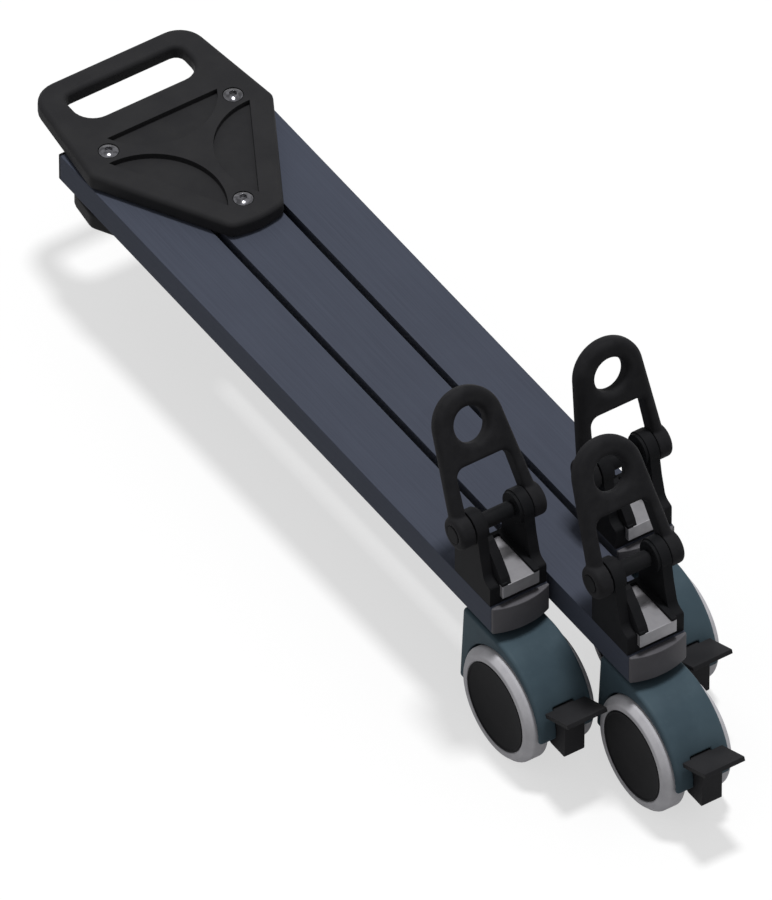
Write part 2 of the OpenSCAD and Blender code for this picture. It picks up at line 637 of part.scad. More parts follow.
on_arm(MIDDLE) foot_shoe();  // middle_foot_shoe
on_arm(MIDDLE) seat_block();  // middle_seat_block
on_arm(MIDDLE) cross_pin();  // middle_cross_pin
on_arm(MIDDLE) foot_strap(middle_lean);  // middle_foot_strap
on_arm(MIDDLE) caster_stem();  // middle_caster_stem
on_arm(MIDDLE) hood();  // middle_hood
on_arm(MIDDLE) wheel_axle();  // middle_axle
on_arm(MIDDLE) wheel_rim(-1);  // middle_rim_a
on_arm(MIDDLE) wheel_tyre(-1);  // middle_tyre_a
on_arm(MIDDLE) wheel_rim(1);  // middle_rim_b
on_arm(MIDDLE) wheel_tyre(1);  // middle_tyre_b
on_arm(MIDDLE) brake_pedal();  // middle_brake_pedal
on_arm(MIDDLE) lever_pin_rod();  // middle_pedal_pin
on_arm(RIGHT) arm_tube();  // right_arm_tube
on_arm(RIGHT) pivot_bush();  // right_pivot_bush
on_arm(RIGHT) tail_plug();  // right_tail_plug
on_arm(RIGHT) end_cap();  // right_end_cap
on_arm(RIGHT) stem_block();  // right_stem_block
on_arm(RIGHT) foot_shoe();  // right_foot_shoe
on_arm(RIGHT) seat_block();  // right_seat_block
on_arm(RIGHT) cross_pin();  // right_cross_pin
on_arm(RIGHT) foot_strap(right_lean);  // right_foot_strap
on_arm(RIGHT) caster_stem();  // right_caster_stem
on_arm(RIGHT) hood();  // right_hood
on_arm(RIGHT) wheel_axle();  // right_axle
on_arm(RIGHT) wheel_rim(-1);  // right_rim_a
on_arm(RIGHT) wheel_tyre(-1);  // right_tyre_a
on_arm(RIGHT) wheel_rim(1);  // right_rim_b
on_arm(RIGHT) wheel_tyre(1);  // right_tyre_b
on_arm(RIGHT) brake_pedal();  // right_brake_pedal
on_arm(RIGHT) lever_pin_rod();  // right_pedal_pin
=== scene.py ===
"""Looks of a folding three-arm dolly for a camera tripod, shown folded.

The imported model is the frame: every piece rides on one of its bodies. Lengths in the classes
below are millimetres in the same frame, with +Z up, the floor at Z = 0, the hand grip towards
+Y and the outer ends of the arms towards -Y.
"""

from __future__ import annotations

import logging
import math
from abc import ABC, abstractmethod
from collections.abc import Iterable, Mapping, Sequence
from dataclasses import dataclass, field
from enum import Enum
from typing import Any

import bmesh
import bpy
from mathutils import Matrix, Vector

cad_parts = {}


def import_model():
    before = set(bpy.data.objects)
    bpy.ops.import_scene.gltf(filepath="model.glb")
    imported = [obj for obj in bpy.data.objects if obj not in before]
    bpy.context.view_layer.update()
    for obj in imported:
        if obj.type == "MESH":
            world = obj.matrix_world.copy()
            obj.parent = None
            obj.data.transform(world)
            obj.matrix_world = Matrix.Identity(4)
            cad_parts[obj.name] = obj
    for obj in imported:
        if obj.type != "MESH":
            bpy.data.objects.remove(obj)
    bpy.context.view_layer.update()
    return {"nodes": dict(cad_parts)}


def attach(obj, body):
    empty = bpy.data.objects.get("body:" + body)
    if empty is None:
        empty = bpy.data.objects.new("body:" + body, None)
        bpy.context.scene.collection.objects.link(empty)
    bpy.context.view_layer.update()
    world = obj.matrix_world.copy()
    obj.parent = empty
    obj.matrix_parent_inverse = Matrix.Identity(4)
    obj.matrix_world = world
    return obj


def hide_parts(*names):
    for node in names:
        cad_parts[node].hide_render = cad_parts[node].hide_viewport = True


LOG = logging.getLogger("dolly")
MM = 0.001  # A millimetre in Blender's metres.
PAST = 3.0  # How far a cutter reaches past what it cuts, in millimetres.
OVERLAP = 1.0  # How far a joined solid sinks into its neighbour.
SHARP = 0.2  # Radius of a corner that looks sharp.
LEAST = 0.1  # The smallest radius that an outline's corner keeps.

Point = tuple[float, float]  # Two coordinates.
Corner = tuple[float, float, float]  # A corner as (x, y, radius), or a point in space.
Level = tuple[float, float]  # A height, and how far a slab's outline moves in there.
Colour = tuple[float, float, float]  # Linear red, green and blue.


def srgb(code: str) -> Colour:
    """Turns a colour as it is written into the one that a shader takes.

    Args:
        code: Two hexadecimal digits each for red, green and blue, such as "4a4f5c".

    Returns:
        Linear red, green and blue.
    """
    parts = [int(code[k : k + 2], 16) / 255 for k in (0, 2, 4)]
    r, g, b = (c / 12.92 if c <= 0.04045 else ((c + 0.055) / 1.055) ** 2.4 for c in parts)
    return r, g, b


def dimmed(colour: Colour, share: float) -> Colour:
    """Gives that share of a linear colour."""
    r, g, b = (c * share for c in colour)
    return r, g, b


class Wire:
    """One output socket of a shader node, with arithmetic written as Python expressions."""

    def __init__(self, graph: Graph, socket: bpy.types.NodeSocket) -> None:
        """Wraps a socket of a node in that graph."""
        self.graph = graph
        self.socket = socket

    def _math(self, operation: str, first: Wire | float, second: Wire | float) -> Wire:
        """Adds a Math node for one operation on two values."""
        return self.graph.add("ShaderNodeMath", {"operation": operation}, {0: first, 1: second})

    def __add__(self, other: Wire | float) -> Wire:
        """Adds a value."""
        return self._math("ADD", self, other)

    def __radd__(self, other: float) -> Wire:
        """Adds this to a number."""
        return self._math("ADD", other, self)

    def __sub__(self, other: Wire | float) -> Wire:
        """Takes a value away."""
        return self._math("SUBTRACT", self, other)

    def __rsub__(self, other: float) -> Wire:
        """Takes this away from a number."""
        return self._math("SUBTRACT", other, self)

    def __mul__(self, other: Wire | float) -> Wire:
        """Multiplies by a value."""
        return self._math("MULTIPLY", self, other)

    def __rmul__(self, other: float) -> Wire:
        """Multiplies a number by this."""
        return self._math("MULTIPLY", other, self)

    def over(self, edge: float, width: float) -> Wire:
        """Gives 0 below an edge, 1 above it, and a soft step of that width between.

        Args:
            edge: The value at the middle of the step.
            width: The whole width of the step.

        Returns:
            The soft step as a wire.
        """
        return self.graph.add(
            "ShaderNodeMapRange",
            {"interpolation_type": "SMOOTHSTEP"},
            {0: self, 1: edge - width / 2, 2: edge + width / 2},
        )


Value = Wire | float | Sequence[float]


class Graph:
    """A node tree under construction."""

    def __init__(self, tree: bpy.types.NodeTree) -> None:
        """Takes over a node tree and empties it."""
        self.tree = tree
        self.tree.nodes.clear()

    def plug(self, socket: bpy.types.NodeSocket, value: Value) -> None:
        """Links a wire to a socket, or sets the socket's own value.

        Args:
            socket: The input socket.
            value: A wire, a number, a vector or a colour.
        """
        if isinstance(value, Wire):
            self.tree.links.new(value.socket, socket)
        elif isinstance(value, Sequence) and socket.type == "RGBA":
            socket.default_value = (*value[:3], 1.0)
        else:
            socket.default_value = value

    def node(
        self,
        kind: str,
        settings: Mapping[str, Any] | None = None,
        inputs: Mapping[str | int, Value] | None = None,
    ) -> bpy.types.Node:
        """Makes a node of any type.

        Args:
            kind: The node's type, such as "ShaderNodeTexNoise".
            settings: Properties that are set before the sockets.
            inputs: Values or wires of its sockets, by name or number.

        Returns:
            The node.
        """
        node = self.tree.nodes.new(kind)
        for key, value in (settings or {}).items():
            setattr(node, key, value)
        for name, value in (inputs or {}).items():
            self.plug(node.inputs[name], value)
        return node

    def add(
        self,
        kind: str,
        settings: Mapping[str, Any] | None = None,
        inputs: Mapping[str | int, Value] | None = None,
        output: str | int = 0,
    ) -> Wire:
        """Makes a node as node() does, and gives one of its outputs as a wire."""
        return Wire(self, self.node(kind, settings, inputs).outputs[output])


@dataclass(frozen=True)
class Grain:
    """One layer of soft noise.

    Attributes:
        size: Size of one blotch in millimetres.
        detail: How many finer layers are added.
        rough: How strong the finer layers are.
    """

    size: float
    detail: float = 2.0
    rough: float = 0.5


class Paint(Graph):
    """A material under construction, round one Principled shader."""

    def __init__(self, name: str, **constants: float | Colour) -> None:
        """Makes the material and sets the shader's sockets that are the same all over.

        Args:
            name: The material's name.
            **constants: Socket names, with underscores for spaces, and their values.
        """
        self.material = bpy.data.materials.new(name)
        self.material.use_nodes = True
        super().__init__(self.material.node_tree)
        inputs = {key.replace("_", " "): value for key, value in constants.items()}
        self.shader = self.node("ShaderNodeBsdfPrincipled", None, inputs)
        surface = Wire(self, self.shader.outputs[0])
        self.node("ShaderNodeOutputMaterial", None, {"Surface": surface})

    def feed(self, socket: str, value: Value) -> None:
        """Gives one of the Principled shader's sockets a value or a wire."""
        self.plug(self.shader.inputs[socket], value)

    def place(self, stretch: Sequence[float] = (1.0, 1.0, 1.0)) -> Wire:
        """Gives the object's own coordinates in millimetres, stretched along each axis.

        Args:
            stretch: Factors along X, Y and Z. A small factor draws a texture out.

        Returns:
            The coordinates as a wire.
        """
        spot = self.add("ShaderNodeTexCoord", output="Object")
        return self.add(
            "ShaderNodeVectorMath",
            {"operation": "MULTIPLY"},
            {0: spot, 1: [s / MM for s in stretch]},
        )

    def noise(self, spot: Wire, grain: Grain) -> Wire:
        """Gives soft noise from 0 to 1.

        Args:
            spot: Coordinates in millimetres.
            grain: The noise's size and detail.

        Returns:
            The noise as a wire.
        """
        return self.add(
            "ShaderNodeTexNoise",
            {"normalize": True},
            {
                "Vector": spot,
                "Scale": 1 / grain.size,
                "Detail": grain.detail,
                "Roughness": grain.rough,
            },
        )

    def blend(self, mask: Wire, low: Wire | Colour, high: Wire | Colour) -> Wire:
        """Mixes two colours by a mask from 0 to 1."""
        settings = {"data_type": "RGBA"}
        return self.add("ShaderNodeMix", settings, {0: mask, 6: low, 7: high}, output=2)

    def bumps(self, height: Wire, depth: float) -> None:
        """Raises the surface by a height from 0 to 1, times a depth in millimetres."""
        inputs = {"Height": height, "Distance": depth * MM, "Strength": 1.0}
        self.feed("Normal", self.add("ShaderNodeBump", None, inputs))


@dataclass(frozen=True)
class Finish(ABC):
    """What every finish has.

    Attributes:
        colour: Its main colour.
        shade: Its colour where it is dusty, faded, rubbed or dulled, and on polished metal the
            dark of its painted reflections.
        roughness: Mean roughness.
        gloss: Strength of the reflection.
        depth: Depth of its relief in millimetres.
        metallic: How metallic it looks, from 0 to 1.
    """

    colour: Colour
    shade: Colour
    roughness: float = 0.5
    gloss: float = 0.05
    depth: float = 0.03
    metallic: float = 0.0

    def dress(self, name: str) -> bpy.types.Material:
        """Makes the finish's material.

        Args:
            name: The material's name.

        Returns:
            The material.
        """
        paint = Paint(name, Specular_IOR_Level=self.gloss, Metallic=self.metallic)
        self.coat(paint)
        return paint.material

    @abstractmethod
    def coat(self, paint: Paint) -> None:
        """Paints the finish on a bare material."""


@dataclass(frozen=True)
class Moulding(Finish):
    """Moulded plastic, rubbed or dusty in places.

    Attributes:
        grain: The fine spark-eroded grain that the mould leaves.
        flow: The faint flow marks.
        wear: The rubbed places.
    """

    grain: Grain = Grain(0.7, 1.0)
    flow: Grain = Grain(38.0, 3.0)
    wear: Grain = Grain(9.0, 4.0, 0.65)

    def coat(self, paint: Paint) -> None:
        """Paints the plastic on a bare material.

        Args:
            paint: The material.
        """
        spot = paint.place()
        flow = paint.noise(spot, self.flow)
        grain = paint.noise(spot, self.grain)
        rubbed = paint.noise(spot, self.wear).over(0.62, 0.22)
        mottle = paint.blend(flow.over(0.5, 0.5), self.colour, self.shade)
        paint.feed("Base Color", paint.blend(rubbed * 0.35, mottle, self.shade))
        paint.feed("Roughness", self.roughness + 0.1 * (flow - 0.5) + 0.06 * (grain - 0.5))
        paint.bumps(grain, self.depth)


@dataclass(frozen=True)
class PowderCoat(Finish):
    """Matt powder coat on a metal casting.

    Attributes:
        grit: Its fine grit.
        peel: Its orange-peel waves.
        cloud: The clouds of settled dust.
    """

    grit: Grain = Grain(0.55, 2.0)
    peel: Grain = Grain(2.6, 1.0)
    cloud: Grain = Grain(30.0, 4.0, 0.6)

    def coat(self, paint: Paint) -> None:
        """Paints the powder coat on a bare material.

        Args:
            paint: The material.
        """
        spot = paint.place()
        grit = paint.noise(spot, self.grit)
        peel = paint.noise(spot, self.peel)
        cloud = paint.noise(spot, self.cloud)
        coat = paint.blend(cloud.over(0.52, 0.5) * 0.6, self.colour, self.shade)
        paint.feed("Base Color", paint.blend(grit.over(0.66, 0.1) * 0.3, coat, self.shade))
        paint.feed("Roughness", self.roughness + 0.12 * (cloud - 0.5))
        paint.bumps(0.7 * grit + 0.3 * peel, self.depth)


@dataclass(frozen=True)
class Anodised(Finish):
    """Dyed and anodised aluminium extrusion, paler along its draw lines.

    Attributes:
        draw: Factor along Y that draws the lines out.
        line: The fine draw lines.
        band: The broad draw lines.
        cloud: The clouds in the dye.
    """

    draw: float = 0.012
    line: Grain = Grain(0.9, 3.0, 0.6)
    band: Grain = Grain(7.0, 2.0)
    cloud: Grain = Grain(60.0, 3.0)

    def coat(self, paint: Paint) -> None:
        """Paints the anodised skin on a bare material.

        Args:
            paint: The material.
        """
        drawn = paint.place((1.0, self.draw, 1.0))
        lines = paint.noise(drawn, self.line)
        bands = paint.noise(drawn, self.band)
        cloud = paint.noise(paint.place(), self.cloud)
        tone = paint.blend(lines.over(0.5, 0.6) * 0.55, self.colour, self.shade)
        paint.feed("Base Color", paint.blend(cloud.over(0.6, 0.5) * 0.25, tone, self.shade))
        paint.feed("Roughness", self.roughness + 0.1 * (lines - 0.5) + 0.06 * (bands - 0.5))
        paint.bumps(lines, self.depth)


@dataclass(frozen=True)
class Rubber(Finish):
    """Vulcanised rubber.

    Attributes:
        scuff: How much of the surface is scuffed, from 0 to 1.
        bloom: The paler bloom and dust on it.
        pore: Its pores.
        mark: Its scuffs.
    """

    scuff: float = 0.3
    bloom: Grain = Grain(16.0, 4.0, 0.6)
    pore: Grain = Grain(0.5, 2.0)
    mark: Grain = Grain(3.2, 5.0, 0.75)

    def coat(self, paint: Paint) -> None:
        """Paints the rubber on a bare material.

        Args:
            paint: The material.
        """
        spot = paint.place()
        bloom = paint.noise(spot, self.bloom)
        pores = paint.noise(spot, self.pore)
        scuffs = paint.noise(spot, self.mark).over(0.68, 0.12)
        skin = paint.blend(bloom.over(0.55, 0.5), self.colour, self.shade)
        paint.feed("Base Color", paint.blend(scuffs * self.scuff, skin, self.shade))
        paint.feed("Roughness", self.roughness + 0.1 * (bloom - 0.5) + 0.1 * scuffs)
        paint.bumps(pores, self.depth)


@dataclass(frozen=True)
class BareMetal(Finish):
    """Bare or plated metal, with scratches and dulled smears; on polished metal these blotches
    are painted reflections.

    Attributes:
        draw: Factor along Y. A small one draws the scratches out.
        smear_and_reflection: The smears, which on polished metal are painted dark and bright
            reflections.
        scratch: The scratches.
    """

    draw: float = 1.0
    smear_and_reflection: Grain = Grain(7.0, 1.0)
    scratch: Grain = Grain(0.6, 3.0, 0.7)

    def coat(self, paint: Paint) -> None:
        """Paints the metal on a bare material.

        Args:
            paint: The material.
        """
        scratch = paint.noise(paint.place((1.0, self.draw, 1.0)), self.scratch)
        smear_and_reflection = paint.noise(paint.place(), self.smear_and_reflection)
        # On polished metal this mix of dark and clean blotches paints reflections into the base
        # colour.
        clean = 1 - smear_and_reflection.over(0.52, 0.3)
        paint.feed("Base Color", paint.blend(clean, self.shade, self.colour))
        paint.feed("Roughness", self.roughness + 0.08 * (smear_and_reflection - 0.5) + 0.06 * (scratch - 0.5))
        paint.bumps(scratch, self.depth)


class Metal(Enum):
    """How a bare metal surface was worked."""

    POLISHED = "polished"
    ZINCED = "zinced"
    MILLED = "milled"

    def finish(self, code: str) -> BareMetal:
        """Gives the finish of metal that was worked in this way.

        Args:
            code: The clean metal's colour, as srgb() takes it.

        Returns:
            The finish.
        """
        clean = srgb(code)
        # Polished metal gets a much darker second colour in small blotches: painted
        # reflections.
        if self is Metal.POLISHED:
            dull_and_dark_reflection = dimmed(clean, 0.45)
            return BareMetal(clean, dull_and_dark_reflection, 0.16, 0.5, 0.004, 1.0, smear_and_reflection=Grain(4.0, 1.0))
        dull_and_dark_reflection = dimmed(clean, 0.9)
        if self is Metal.MILLED:
            return BareMetal(clean, dull_and_dark_reflection, 0.44, 0.5, 0.015, 0.4, draw=0.02)
        return BareMetal(clean, dull_and_dark_reflection, 0.36, 0.5, 0.015, 1.0)


@dataclass
class Finishes:
    """Every finish of the dolly, under a field name of its own, and what is made of them.

    Attributes:
        made: The materials made so far, by finish.
    """

    plate: Finish = PowderCoat(srgb("28282a"), srgb("323233"), 0.6, 0.05, 0.05)
    tube: Finish = Anodised(srgb("454955"), srgb("4f5461"), 0.5, 0.02, 0.012)
    cap: Finish = Moulding(srgb("545357"), srgb("605f63"), 0.5, 0.07)
    shoe: Finish = Moulding(srgb("18191b"), srgb("212123"), 0.55, 0.03)
    hood: Finish = Moulding(
        srgb("404f58"), srgb("4a5a63"), 0.45, 0.03, 0.02, grain=Grain(0.9, 1.0)
    )
    pedal: Finish = Moulding(srgb("28282a"), srgb("303032"), 0.5, 0.03)
    disc: Finish = Moulding(srgb("1f1f21"), srgb("272729"), 0.55, 0.02)
    strap: Finish = Rubber(srgb("1e1e20"), srgb("28282a"), 0.67, 0.05, 0.04)
    tyre: Finish = Rubber(srgb("bfbec3"), srgb("cfced2"), 0.6, 0.05, 0.04, scuff=0.4)
    seat: Finish = Metal.MILLED.finish("949397")
    chrome: Finish = Metal.POLISHED.finish("66666a")
    steel: Finish = Metal.ZINCED.finish("b0b1b4")
    brass: Finish = Metal.ZINCED.finish("c2a264")
    washer: Finish = Moulding(srgb("c9c8c0"), srgb("b8b7ae"), 0.45)
    made: dict[str, bpy.types.Material] = field(default_factory=dict)

    def material(self, name: str) -> bpy.types.Material:
        """Gives a finish's material, made at its first use.

        Args:
            name: The finish's field name.

        Returns:
            The material.
        """
        if name not in self.made:
            self.made[name] = getattr(self, name).dress(f"dolly_{name}")
        return self.made[name]


def turned(degrees: float, axis: str) -> Matrix:
    """Gives a turn about one axis."""
    return Matrix.Rotation(math.radians(degrees), 4, axis)


def add_object(name: str, data: bpy.types.ID) -> bpy.types.Object:
    """Makes an object of a mesh, lamp or camera.

    Args:
        name: The object's name.
        data: What it shows.

    Returns:
        The object, linked to the scene.
    """
    thing = bpy.data.objects.new(name, data)
    bpy.context.scene.collection.objects.link(thing)
    return thing


def rounded_outline(corners: Sequence[Corner], inset: float, step: float) -> list[Point]:
    """Draws a closed outline with round corners, moved in from each edge.

    Args:
        corners: Corners (x, y, radius), in turning order to the left.
        inset: How far each edge moves in. A negative value moves it out.
        step: The largest turn between two points, in degrees.

    Returns:
        The outline's points, the same number for every inset.
    """
    count = len(corners)
    edges = [
        (Vector(corners[(k + 1) % count][:2]) - Vector(corners[k][:2])).normalized()
        for k in range(count)
    ]
    points: list[Point] = []
    for k, (x, y, radius) in enumerate(corners):
        back, ahead = edges[k - 1], edges[k]
        side_back, side_ahead = Vector((-back.y, back.x)), Vector((-ahead.y, ahead.x))
        corner = Vector((x, y)) + (side_back + side_ahead) * (
            inset / (1 + side_back.dot(side_ahead))
        )
        turn = math.atan2(back.cross(ahead), back.dot(ahead))
        reach = max(radius - math.copysign(inset, turn), LEAST)
        start = corner - back * reach * math.tan(abs(turn) / 2)
        centre = start + side_back * math.copysign(reach, turn)
        steps = max(2, math.ceil(math.degrees(abs(turn)) / step))
        for i in range(steps + 1):
            angle = turn * i / steps
            arm = side_back * math.cos(angle) - back * math.sin(angle)
            spot = centre - arm * math.copysign(reach, turn)
            points.append((spot.x, spot.y))
    return points


def quarter_round(radius: float, steps: int) -> list[Point]:
    """Gives the points of a quarter round, as distances from the two sides that it joins."""
    turn = [math.radians(90 * k / steps) for k in range(steps + 1)]
    return [(radius * (1 - math.cos(a)), radius * (1 - math.sin(a))) for a in turn]


def rounded_levels(thickness: float, radius: float, steps: int = 6) -> list[Level]:
    """Gives the levels of a slab centred on zero, with both rims rounded.

    Args:
        thickness: The slab's thickness.
        radius: Radius of the rims.
        steps: Steps across each round.

    Returns:
        Heights and insets, from the lowest up.
    """
    low = [(rise - thickness / 2, inset) for rise, inset in quarter_round(radius, steps)]
    high = [(-height, inset) for height, inset in reversed(low)]
    return low + high


class Solid:
    """A closed mesh in millimetres that is cut, joined and fused before it becomes a piece."""

    def __init__(self, mesh: bmesh.types.BMesh) -> None:
        """Makes an object of a finished bmesh.

        Args:
            mesh: The mesh in millimetres. It is used up.
        """
        data = bpy.data.meshes.new("solid")
        bmesh.ops.recalc_face_normals(mesh, faces=mesh.faces[:])
        mesh.to_mesh(data)
        mesh.free()
        self.form = add_object("solid", data)

    @classmethod
    def loft(cls, rings: Sequence[Sequence[Corner]]) -> Solid:
        """Joins rings of points into a solid with flat ends.

        Args:
            rings: The rings in order, each with the same count of points.

        Returns:
            The solid.
        """
        mesh = bmesh.new()
        made = [[mesh.verts.new(p) for p in ring] for ring in rings]
        count = len(made[0])
        mesh.faces.new(made[0])
        mesh.faces.new(made[-1])
        for low, high in zip(made, made[1:]):
            for k in range(count):
                j = (k + 1) % count
                mesh.faces.new((low[k], low[j], high[j], high[k]))
        return cls(mesh)

    @classmethod
    def slab(
        cls, corners: Sequence[Corner], levels: Sequence[Level], step: float = 5.0
    ) -> Solid:
        """Builds a slab that stands on XY, from one rounded outline at several levels.

        Args:
            corners: Corners (x, y, radius) of the outline.
            levels: Heights, and how far the outline moves in at each.
            step: The largest turn between two points, in degrees.

        Returns:
            The slab.
        """
        rings = []
        for height, inset in levels:
            outline = rounded_outline(corners, inset, step)
            rings.append([(x, y, height) for x, y in outline])
        return cls.loft(rings)

    @classmethod
    def lathe(cls, profile: Sequence[Point], segments: int = 96) -> Solid:
        """Turns a closed profile of (radius, height) points round Z.

        Args:
            profile: Its points. Either none lies on the axis, or just the first and last.
            segments: How many steps the full turn has.

        Returns:
            The turned solid.
        """
        angles = [math.tau * k / segments for k in range(segments)]
        mesh = bmesh.new()
        rings: list[list[bmesh.types.BMVert]] = []
        for radius, height in profile:
            if radius == 0:
                rings.append([mesh.verts.new((0.0, 0.0, height))])
            else:
                circle = [(radius * math.cos(a), radius * math.sin(a), height) for a in angles]
                rings.append([mesh.verts.new(spot) for spot in circle])
        closed = len(rings[0]) > 1
        pairs = list(zip(rings, rings[1:])) + ([(rings[-1], rings[0])] if closed else [])
        for low, high in pairs:
            for k in range(segments):
                j = (k + 1) % segments
                below = (low[k % len(low)], low[j % len(low)])
                above = (high[j % len(high)], high[k % len(high)])
                mesh.faces.new(list(dict.fromkeys(below + above)))
        return cls(mesh)

    @classmethod
    def drum(cls, radius: float, low: float, high: float, segments: int = 96) -> Solid:
        """Builds a plain round drum along Z, from one height to another."""
        return cls.lathe([(0, low), (radius, low), (radius, high), (0, high)], segments)

    @classmethod
    def rod(cls, radius: float, start: float, end: float, segments: int = 96) -> Solid:
        """Builds a plain round rod along X, from one x to another."""
        drum = cls.drum(radius, start, end, segments)
        return drum.moved(turned(90, "Y"))

    def moved(self, matrix: Matrix) -> Solid:
        """Moves the mesh by a matrix in millimetres, and gives the solid back."""
        self.form.data.transform(matrix)
        return self

    def _apply(self) -> None:
        """Makes the modifiers on the form part of its mesh."""
        bpy.context.view_layer.update()
        graph = bpy.context.evaluated_depsgraph_get()
        fresh = bpy.data.meshes.new_from_object(self.form.evaluated_get(graph))
        self.form.modifiers.clear()
        self.form.data = fresh

    def _combine(self, operation: str, others: Iterable[Solid]) -> Solid:
        """Applies one exact boolean operation with each of the other solids.

        Args:
            operation: "UNION" or "DIFFERENCE".
            others: The other solids, which are used up.

        Returns:
            The same solid.
        """
        for other in others:
            tool = self.form.modifiers.new("combine", "BOOLEAN")
            tool.operation, tool.solver, tool.object = operation, "EXACT", other.form
            self._apply()
            bpy.data.objects.remove(other.form)
        return self

    def join(self, *others: Solid) -> Solid:
        """Adds other solids to this one and uses them up."""
        return self._combine("UNION", others)

    def cut(self, *others: Solid) -> Solid:
        """Takes other solids out of this one and uses them up."""
        return self._combine("DIFFERENCE", others)

    def fused(self, voxel: float, passes: int) -> Solid:
        """Melts the solid into one soft skin with filleted inner corners.

        Args:
            voxel: Size of the remeshing grid in millimetres.
            passes: How often the skin is smoothed.

        Returns:
            The same solid.
        """
        grid = self.form.modifiers.new("grid", "REMESH")
        grid.mode, grid.voxel_size, grid.use_smooth_shade = "VOXEL", voxel, True
        relax = self.form.modifiers.new("relax", "SMOOTH")
        relax.factor, relax.iterations = 0.5, passes
        self._apply()
        return self

    def piece(self, name: str, material: bpy.types.Material) -> bpy.types.Object:
        """Turns the solid into a named piece in metres.

        Args:
            name: The piece's name.
            material: Its one material.

        Returns:
            The object, at the origin.
        """
        self.form.data.transform(Matrix.Scale(MM, 4))
        self.form.name = self.form.data.name = name
        self.form.data.materials.clear()
        self.form.data.materials.append(material)
        self.form.data.shade_smooth()
        return self.form


def twin(piece: bpy.types.Object, name: str) -> bpy.types.Object:
    """Copies a piece, with the mesh shared.

    Args:
        piece: The piece to copy.
        name: The copy's name.

    Returns:
        The copy.
    """
    copy = piece.copy()
    copy.name = name
    bpy.context.scene.collection.objects.link(copy)
    LOG.info("made %s", name)
    return copy


@dataclass
class EdgeBreak:
    """Small rounds on the sharp edges of a solid, done by modifiers.

    Attributes:
        width: Radius of the broken edges in millimetres.
        segments: Steps across each round.
        limit: Edges that turn by more than this many degrees are broken.
        weld: Points nearer than this many millimetres are joined first.
        flat: Faces that turn by less than this many degrees become one.
        close: Points nearer than this after the rounding are joined.
    """

    width: float = 0.8
    segments: int = 3
    limit: float = 32.0
    weld: float = 0.02
    flat: float = 0.4
    close: float = 0.01

    @staticmethod
    def smooth_group() -> bpy.types.NodeTree:
        """Makes the geometry group that shades every face smooth, at its first use.

        Returns:
            The group.
        """
        name, kind = "shade_all_smooth", "NodeSocketGeometry"
        if name in bpy.data.node_groups:
            return bpy.data.node_groups[name]
        group = bpy.data.node_groups.new(name, "GeometryNodeTree")
        for way in ("INPUT", "OUTPUT"):
            group.interface.new_socket("Geometry", in_out=way, socket_type=kind)
        graph = Graph(group)
        source = graph.add("NodeGroupInput")
        smooth = graph.add("GeometryNodeSetShadeSmooth", None, {"Geometry": source})
        graph.node("NodeGroupOutput", None, {"Geometry": smooth})
        return group

    def apply(self, solid: bpy.types.Object) -> None:
        """Adds the modifiers that weld, flatten, round and shade a solid.

        Args:
            solid: The object, in metres. Its mesh stays as it is.
        """
        weld = solid.modifiers.new("weld", "WELD")
        weld.merge_threshold = self.weld * MM
        flat = solid.modifiers.new("flat", "DECIMATE")
        flat.decimate_type, flat.angle_limit = "DISSOLVE", math.radians(self.flat)
        smooth = solid.modifiers.new("smooth", "NODES")
        smooth.node_group = self.smooth_group()
        rounds = solid.modifiers.new("rounds", "BEVEL")
        rounds.width, rounds.segments = self.width * MM, self.segments
        rounds.limit_method, rounds.angle_limit = "ANGLE", math.radians(self.limit)
        rounds.use_clamp_overlap, rounds.harden_normals = True, True
        rounds.miter_outer = "MITER_ARC"
        close = solid.modifiers.new("close", "WELD")
        close.merge_threshold = self.close * MM
        shading = solid.modifiers.new("shading", "WEIGHTED_NORMAL")
        shading.keep_sharp = False


@dataclass
class Arm:
    """One arm's place and what it carries.

    Attributes:
        name: left, middle or right.
        x: Its pivot's X.
        y: Its pivot's Y.
        lean: How far its strap leans back from upright, in degrees.
        body: The body that its rigid pieces ride on.
        pin: Place (y, z) of the strap's pin, with y measured from the pivot.
        axle: Place (y, z) of the caster's axle.
    """

    name: str
    x: float
    y: float
    lean: float
    body: str
    pin: Point = (-563.5, 206.5)
    axle: Point = (-611.5, 50.0)

    def at(self, y: float, z: float) -> Matrix:
        """Gives the place of a point of the arm's middle plane, in metres."""
        return Matrix.Translation(Vector((self.x, self.y + y, z)) * MM)


